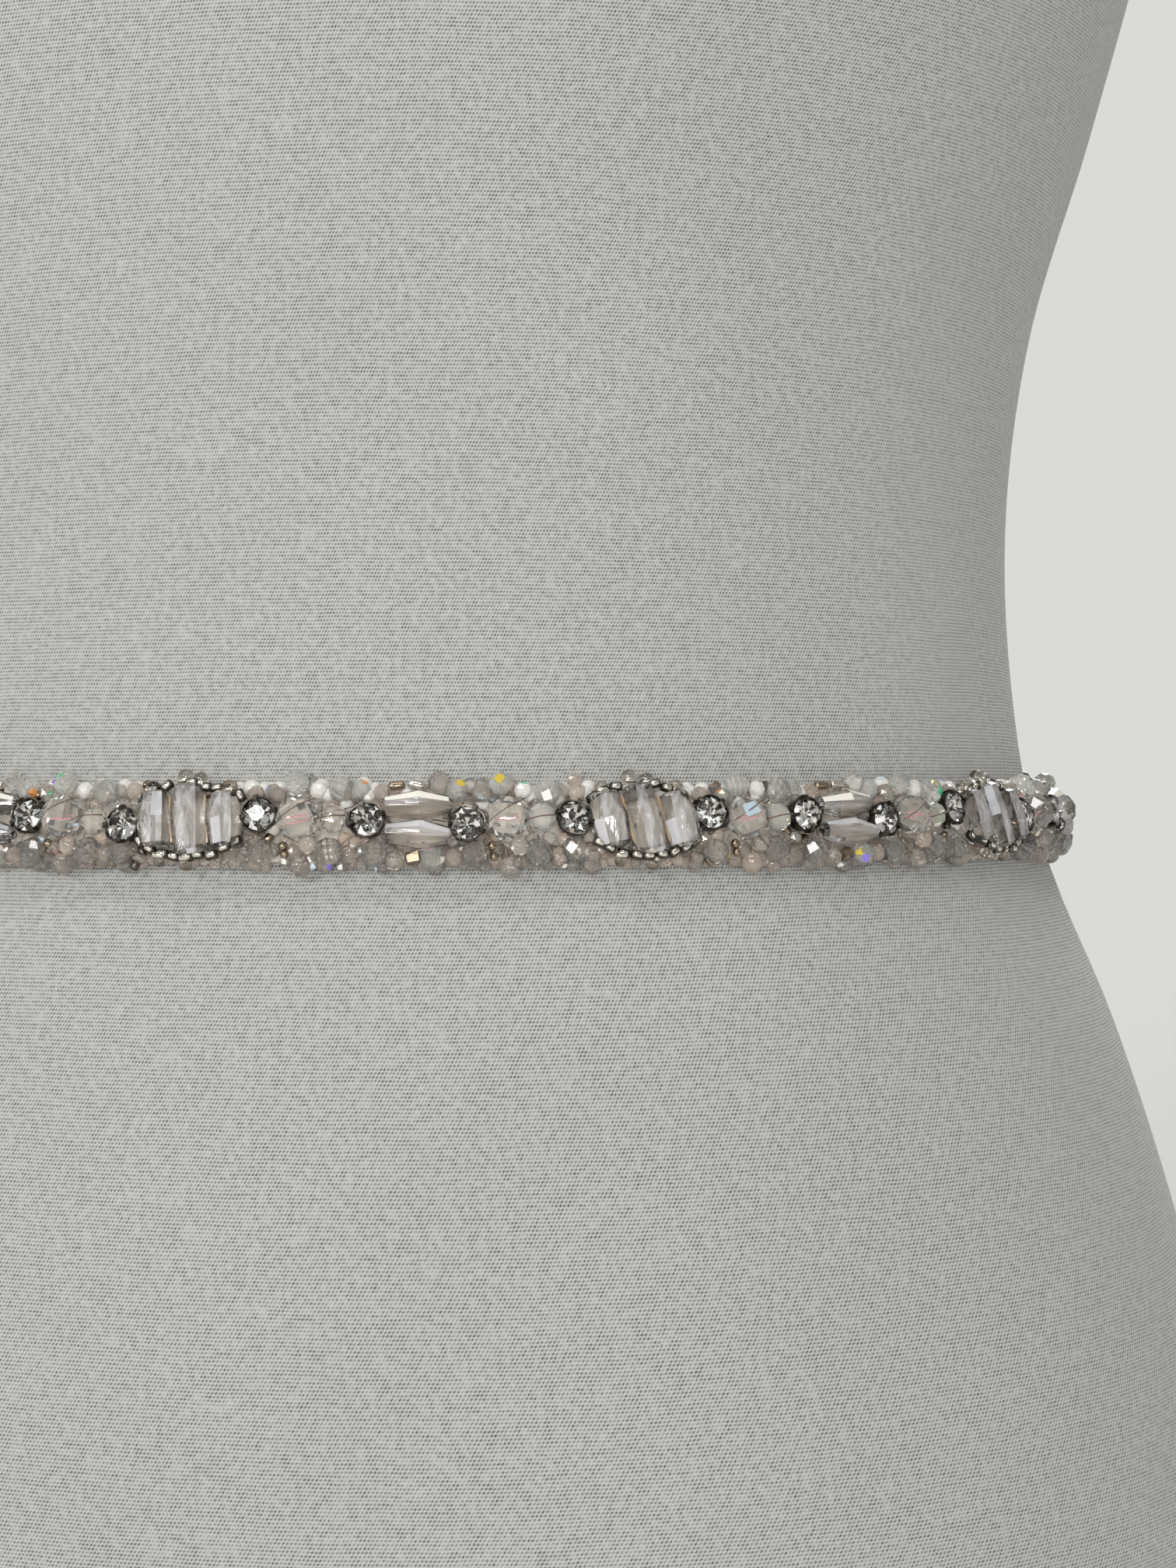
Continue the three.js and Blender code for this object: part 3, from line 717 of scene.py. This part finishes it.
        # Short dark threads at random: partly real sewing, partly painted shade in the gaps between beads.
        for _ in range(int((high - low) * THREADS_AND_GAP_SHADE_PER_MM)):
            start = self.chance.uniform(low + 2, high - 2), self.chance.uniform(-4.6, 4.6)
            way = self.chance.uniform(0, FULL_TURN)
            length = self.chance.uniform(FILL_THREAD["shortest"], FILL_THREAD["longest"])
            end = start[0] + length * math.cos(way), max(-5.0, min(5.0, start[1] + length * math.sin(way)))
            a, u = (start[0] + end[0]) / 2, (start[1] + end[1]) / 2
            if all(math.hypot(a - x, u - y) > r * 1.1 for x, y, r in self.covered if r > 1.5):
                self.thread(start, end, FILL_THREAD["out"], FILL_THREAD["sag"])

    def finish_piece(self, name, node):
        """Makes the piece from what was gathered, and hides its solid."""
        used = np.concatenate(self.finish)
        piece = make_piece(
            name, np.concatenate(self.points), np.concatenate(self.faces), list(finishes.values()), used,
            np.concatenate(self.smooth),
        )
        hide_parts(node)


# A medallion: three upright cut crystals side by side, ringed by a string of silver-lined seeds, with
# small clear drops along its edges and a stone in a cup at each end.
MEDALLION_SPAN = 18.7
DROPS_SPAN = 13.0
CLUSTER_SPAN = 14.2
REPEAT = MEDALLION_SPAN + DROPS_SPAN + 2 * CLUSTER_SPAN
MEDALLIONS_EACH_SIDE = 4
MEDALLION_HALF = MEDALLION_SPAN / 2 + 2.7
RING = {
    "along": 7.9, "up": 5.15, "squareness": 2.15, "beads": 24, "out": 2.9, "open_at_top": 4.2, "gaps": 0.35,
}
RING_ENDS = 7.4  # beyond this, along, the cups take the string's place
# The larger dark seed under each silver-lined one is a painted dark outline.
RING_OUTLINE_SEED, RING_LINING = (1.75, 1.3, 1.3), (1.2, 0.9, 0.9)
DROP_SEED = (1.6, 0.9, 0.9)
AMBER_ROD = {"along": 2.42, "out": 3.5, "size": (6.6, 0.32, 0.32)}
UPRIGHT_GIRTH = 2.72
UPRIGHTS = [  # along, half height
    (-4.75, 3.85), (0.0, 4.95), (4.75, 3.85),
]
EDGE_DROPS = [  # along, up, radius
    (-1.3, 6.5, 1.1), (0.95, 6.1, 1.05), (-5.9, 4.8, 1.0), (5.0, 4.9, 1.1),
    (0.6, -6.0, 1.0), (-3.6, -5.6, 0.9),
]
CUP_NEIGHBOURS = [  # shape, finish, along from the cup and away from the middle, up, radius, out
    ("round_cut", "clear", 0.2, -4.3, 1.9, 1.9), ("star_cut", "opal", -0.8, 4.1, 1.3, 1.7),
    ("round_cut", "milky", 1.5, 4.5, 1.15, 1.5), ("round", "milky", -2.3, -4.9, 1.0, 1.3),
]

for number in range(1, 2 * MEDALLIONS_EACH_SIDE + 2):
    beads = Beadwork((number - 1 - MEDALLIONS_EACH_SIDE) * REPEAT, 100 + number)
    slant = beads.chance.uniform(0.04, 0.2)
    for along, half_height in UPRIGHTS:
        # Each upright has one facet of painted sheen.
        beads.add("upright_cut", "streaked", along, 0.0, 2.6, (half_height, UPRIGHT_GIRTH, UPRIGHT_GIRTH),
                  math.pi / 2 + slant, math.pi / 8 + beads.chance.normal(0, 0.05), flashes=1,
                  among=["silk"], face="lilac")
    for side in (-1, 1):
        beads.add("tube", "amber", side * AMBER_ROD["along"], 0.0, AMBER_ROD["out"], AMBER_ROD["size"],
                  math.pi / 2 + slant, 0.0)
        beads.stone(side * MEDALLION_SPAN / 2, 4 * (number - 1) + (side > 0))
        for shape, finish, along, up, radius, out in CUP_NEIGHBOURS:
            along = side * (MEDALLION_SPAN / 2 + along)
            beads.add(shape, finish, along, up + beads.chance.normal(0, 0.2), out, radius,
                      beads.chance.uniform(*HEADINGS), flashes=int(beads.chance.random() < 0.35))
    ring_turns = FULL_TURN * np.arange(720) / 720
    power = 2 / RING["squareness"]
    ring_along = RING["along"] * np.sign(np.cos(ring_turns)) * np.abs(np.cos(ring_turns)) ** power
    ring_up = RING["up"] * np.sign(np.sin(ring_turns)) * np.abs(np.sin(ring_turns)) ** power
    steps = np.hypot(np.diff(ring_along, append=ring_along[:1]), np.diff(ring_up, append=ring_up[:1]))
    lengths = np.cumsum(steps) - steps[0]
    for place in np.arange(RING["beads"]) * lengths[-1] / RING["beads"]:
        k = min(int(np.searchsorted(lengths, place)), 718)
        heading = math.atan2(ring_up[k + 1] - ring_up[k], ring_along[k + 1] - ring_along[k])
        at_top = ring_up[k] > 0 and abs(ring_along[k]) < RING["open_at_top"]
        if abs(ring_along[k]) < RING_ENDS and not (at_top and beads.chance.random() < RING["gaps"]):
            out = RING["out"] + beads.chance.uniform(-0.3, 0.4)
            heading += beads.chance.normal(0, 0.25)
            along = ring_along[k] + beads.chance.normal(0, 0.12)
            up = ring_up[k] + beads.chance.normal(0, 0.18)
            # A larger dark seed under each lined one paints dark reflections round its edges.
            beads.add("seed", "dark_silver", along, up, out, RING_OUTLINE_SEED, heading)
            beads.add("seed", "silver_lined", along, up, out + 0.3, RING_LINING, heading)
    for along, up, radius in EDGE_DROPS:
        along += beads.chance.normal(0, 0.25)
        beads.add("round", "smoky", along, up, 2.2, radius)
        heading = beads.chance.normal(-0.1, 0.2)
        beads.add("seed", "silver_lined", along, up * 0.89, 3.0, DROP_SEED, heading)
    beads.fill(-MEDALLION_HALF, MEDALLION_HALF, inside_ring=True)
    beads.finish_piece(f"medallion_beads_{number}", f"bead_medallion_{number}")


# A spray: two long drop crystals that lie one above the other between two cups, with a cluster of round
# crystals, opals and seeds at either end, one large crystal the first in each.
SPRAY_HALF = REPEAT / 2 - MEDALLION_HALF
LONG_DROPS = [(2.15, 0.03), (-2.0, -0.04)]  # up, slant
CLUSTER = [  # shape, finishes to choose from, along from the cluster's first cup, up, radius, out
    ("round_cut", ("clear",), 5.2, 0.2, 2.95, 3.0), ("star_cut", ("clear", "coated"), 9.9, 0.1, 2.0, 2.5),
    ("round_cut", ("clear",), 9.2, -4.3, 2.0, 2.0), ("round_cut", ("coated",), 4.7, 5.4, 1.75, 2.1),
    ("star_cut", ("white",), 7.7, 4.5, 1.3, 1.8), ("round_cut", ("coated", "clear"), 10.9, 4.3, 1.9, 2.0),
    ("round", ("milky", "opal"), 5.4, -6.0, 1.5, 1.5), ("round", ("opal", "milky"), 6.6, -3.5, 1.35, 2.6),
    ("round", ("brass_lined",), 3.2, -3.4, 0.65, 2.0), ("round", ("brass_lined",), 3.4, -4.6, 0.6, 1.6),
    ("wheel_cut", ("clear",), 7.4, 2.1, 1.1, 2.6), ("wheel_cut", ("milky",), 7.4, -1.2, 1.1, 2.7),
    ("round", ("opal", "milky"), 11.9, -4.7, 1.35, 1.6),
    ("star_cut", ("opal", "coated"), 2.3, 3.6, 1.2, 1.8),
]
CUP_EDGES = [  # shape, finish, along from the cup, up, radius, out
    ("round_cut", "clear", 1.0, -4.4, 1.95, 1.9), ("star_cut", "opal", 2.0, 4.1, 1.35, 1.8),
    ("round_cut", "coated", -1.2, 4.5, 1.7, 1.7),
]
DROP_EDGES = [  # shape, finish, along, up, half sizes, out
    ("seed", "brass_lined", -2.6, 5.2, (2.2, 1.2, 1.2), 2.0),
    ("seed", "silver_lined", 0.0, 5.3, (2.2, 1.2, 1.2), 2.0),
    ("star_cut", "clear", 3.0, 5.7, 1.6, 1.8), ("round", "milky", -3.0, -5.3, 1.45, 1.7),
    ("tube", "brass_lined", -0.6, -5.0, (1.9, 1.9, 1.9), 1.6), ("round_cut", "coated", 2.0, -4.9, 1.7, 1.9),
    ("star_cut", "opal", 4.7, -4.9, 1.3, 1.7),
]
COATED_FLASH, PLAIN_FLASH = 0.55, 0.15  # the share of the cluster's beads with a flash
ROSE_GLINT = {"along": 5.2, "up": 0.2, "out": 3.0, "size": (2.4, 0.35, 0.35)}  # inside the large crystal
CLUSTER_THREADS = [  # start and end along and up from the cluster's middle, out, sag
    ((-4.4, -0.6), (0.6, 2.9), 4.1, 1.6), ((0.2, -0.4), (4.6, 0.4), 4.0, 1.2),
]

for number in range(1, 2 * MEDALLIONS_EACH_SIDE + 1):
    beads = Beadwork((number - 0.5 - MEDALLIONS_EACH_SIDE) * REPEAT, 200 + number)
    for up, slant in LONG_DROPS:
        # The top drop's up-facing facets take a painted cream highlight, the bottom drop's a painted grey
        # sheen.
        beads.add("drop_cut", "rose", 0.1, up, 2.7, (4.75, 2.2, 2.2), slant, flashes=2,
                  among=["flash_cream" if up > 0 else "silk"], up_facing_highlight=True, face="lilac_drop")
    for side in (-1, 1):
        beads.stone(side * DROPS_SPAN / 2, 4 * (number - 1) + (3 if side > 0 else 2))
        for shape, finish, along, up, radius, out in CUP_EDGES:
            beads.add(shape, finish, side * DROPS_SPAN / 2 + along, up, out, radius,
                      beads.chance.uniform(*HEADINGS),
                      flashes=int(finish == "coated" and beads.chance.random() < 0.5))
    for shape, finish, along, up, size, out in DROP_EDGES:
        beads.add(shape, finish, along, up, out, size, beads.chance.normal(0, 0.15),
                  flashes=2 * (finish == "coated"))
    for first_cup in (-DROPS_SPAN / 2 - CLUSTER_SPAN, DROPS_SPAN / 2):
        for shape, choice, along, up, radius, out in CLUSTER:
            finish = beads.chance.choice(choice)
            flashes = int(beads.chance.random() < (COATED_FLASH if finish == "coated" else PLAIN_FLASH))
            beads.add(shape, finish, first_cup + along, up + beads.chance.normal(0, 0.15), out, radius,
                      beads.chance.uniform(*HEADINGS), flashes=flashes,
                      among=PALE_FLASHES if radius > STONE_RADIUS else FLASHES)
        middle = first_cup + CLUSTER_SPAN / 2
        beads.add("tube", "flash_rose", first_cup + ROSE_GLINT["along"], ROSE_GLINT["up"], ROSE_GLINT["out"],
                  ROSE_GLINT["size"], 0.1)
        for (start, low), (end, high), out, sag in CLUSTER_THREADS:
            beads.thread((middle + start, low), (middle + end, high), out, sag)
    beads.fill(-SPRAY_HALF, SPRAY_HALF)
    beads.finish_piece(f"spray_beads_{number}", f"bead_spray_{number}")


# The knot: the ribbon's two ends tied once behind, drawn tight, so that the wrap over the crossing is
# rounded and creased, and the tails come out below it.
KNOT_CREASES = [(-3.0, 0.55, 0.8), (-0.6, 0.8, 0.7), (2.3, 0.6, 0.9)]  # place across, depth, width
KNOT_DEPTH = 6.0

levels = np.sin(np.linspace(-0.96, 0.96, 40) * math.pi / 2)
turns = FULL_TURN * np.arange(56) / 56
fullness = np.sqrt(1 - np.abs(levels) ** 3.4)[:, None]
bulge = np.maximum(0, np.sin(turns))[None, :]
across = KNOT_HALF_WIDTH * np.cos(turns)[None, :] * (0.42 + 0.58 * fullness)
creases = sum(
    depth * np.exp(-((across + 1.1 * levels[:, None] * (0.5 + place / 6) - place) / width) ** 2)
    for place, depth, width in KNOT_CREASES
)
puff = np.where(bulge > 0, bulge**0.7 * KNOT_DEPTH * (0.25 + 0.75 * fullness), 0.4 * np.sin(turns)[None, :])
height = levels[:, None] * (KNOT_HALF_HEIGHT + 0.3 * np.sin(2.2 * across)) + 0 * across
knot_loops = on_sash(HALF_WAIST + across, height, 1.0 + puff - creases * bulge * fullness)
points, triangles = loft(knot_loops)
knot = make_piece("satin_knot", points, triangles, [satin])
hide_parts("knot")


# The tails: the ribbon's two ends, cut on a slant, which leave the knot side by side, lie over the back
# of the form and hang straight from the seat.
TAILS = [
    {"name": "tail_left", "side": -1, "length": 186, "splay": 21, "sway": 2.4, "phase": 0.4, "slant": 8},
    {"name": "tail_right", "side": 1, "length": 172, "splay": 15, "sway": 2.0, "phase": 2.1, "slant": -8},
]
TAIL_START = 4.2
TAIL_TUCK = 4.0  # how far each tail goes up into the knot
SEAT_HEIGHT = 90

seat = on_form(math.pi, SEAT_HEIGHT)[1]
for tail in TAILS:
    top = BELT_HEIGHT - KNOT_HALF_HEIGHT - 0.3
    down = np.linspace(-TAIL_TUCK / tail["length"], 1, 90)[:, None]
    drop = np.maximum(down, 0)
    edge = (section[:, 0] / (RIBBON_WIDTH / 2))[None, :]
    middle = HALF_WAIST + tail["side"] * (TAIL_START + tail["splay"] * drop**1.3)
    height = top - tail["length"] * down - edge * tail["slant"] * drop**8 / 2
    wave = tail["sway"] * np.sin(drop * 2.6 * math.pi + tail["phase"] + edge * 0.45)
    hang = np.maximum(0, seat - on_form(math.pi, np.minimum(height, SEAT_HEIGHT))[..., 1])
    lift = 0.5 + (tail["sway"] + wave) * np.sin(math.pi * np.minimum(1, drop * 1.15)) ** 2 + hang
    width = RIBBON_WIDTH / 2 * (0.62 + 0.38 * np.minimum(1, drop * 6))
    loops = over(middle + edge * width, height, lift + 0.2 + section[None, :, 1])
    points, triangles = loft(loops)
    ribbon_tail = make_piece(f"satin_{tail['name']}", points, triangles, [satin])
    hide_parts(tail["name"])


# The studio: a pale floor, a soft sun from the front left and one from behind, small lights that give
# the cut glass its sparkle, and an even pale surround.
FLOOR_SIDE = 16.0
SUNS = [  # name, strength, degrees wide, degrees high, degrees round from the front to the left
    ("main_sun", 0.92, 15, 18, 16), ("back_sun", 1.3, 25, 35, 185),
]
LIGHTS = [  # name, place, width, height, watts
    ("near", (0.08, -0.48, 0.25), 0.035, 0.035, 0.30),
    ("front", (0.30, -0.90, 0.40), 0.06, 0.06, 1.0),
    ("strip", (-0.9, -0.75, 0.5), 0.04, 0.50, 1.2),
    ("overhead", (0.05, -0.34, 0.80), 0.50, 0.05, 1.08),
]

floor_finish = Finish("pale_floor", Base_Color=(0.93, 0.93, 0.92), Roughness=0.9)
half = FLOOR_SIDE / 2
floor_corners = [(-half, -half, 0), (half, -half, 0), (half, half, 0), (-half, half, 0)]
floor_mesh = bpy.data.meshes.new("floor")
floor_mesh.from_pydata(floor_corners, [], [(0, 1, 2, 3)])
floor_mesh.materials.append(floor_finish.material)
floor = bpy.data.objects.new("floor", floor_mesh)
bpy.context.scene.collection.objects.link(floor)

for name, place, width, tall, watts in LIGHTS:
    light = bpy.data.lights.new(name, "AREA")
    light.shape, light.size, light.size_y, light.energy = "RECTANGLE", width, tall, watts
    lamp = bpy.data.objects.new(name, light)
    bpy.context.scene.collection.objects.link(lamp)
    aim = np.array((0, 0, BELT_HEIGHT / 1000)) - np.array(place)
    lamp.location = place
    lamp.rotation_euler = (math.acos(-aim[2] / np.linalg.norm(aim)), 0, math.atan2(-aim[0], aim[1]))

for name, strength, wide, high, turned_left in SUNS:
    light = bpy.data.lights.new(name, "SUN")
    light.energy, light.angle = strength, math.radians(wide)
    lamp = bpy.data.objects.new(name, light)
    bpy.context.scene.collection.objects.link(lamp)
    lamp.rotation_euler = (math.radians(90 - high), 0, -math.radians(turned_left))

world = bpy.data.worlds.new("surround")
bpy.context.scene.world = world
world.use_nodes = True
nodes, links = world.node_tree.nodes, world.node_tree.links
shown, lit = nodes["Background"], nodes.new("ShaderNodeBackground")
for background, colour, strength in [
    (shown, (0.70, 0.70, 0.68, 1), 1.0), (lit, (0.89, 0.88, 0.85, 1), 0.43),
]:
    background.inputs["Color"].default_value = colour
    background.inputs["Strength"].default_value = strength
path, blend = nodes.new("ShaderNodeLightPath"), nodes.new("ShaderNodeMixShader")
links.new(path.outputs["Is Camera Ray"], blend.inputs["Fac"])
links.new(lit.outputs[0], blend.inputs[1])
links.new(shown.outputs[0], blend.inputs[2])
links.new(blend.outputs[0], nodes["World Output"].inputs["Surface"])
bpy.context.scene.view_settings.view_transform = "Standard"

bpy.context.view_layer.update()
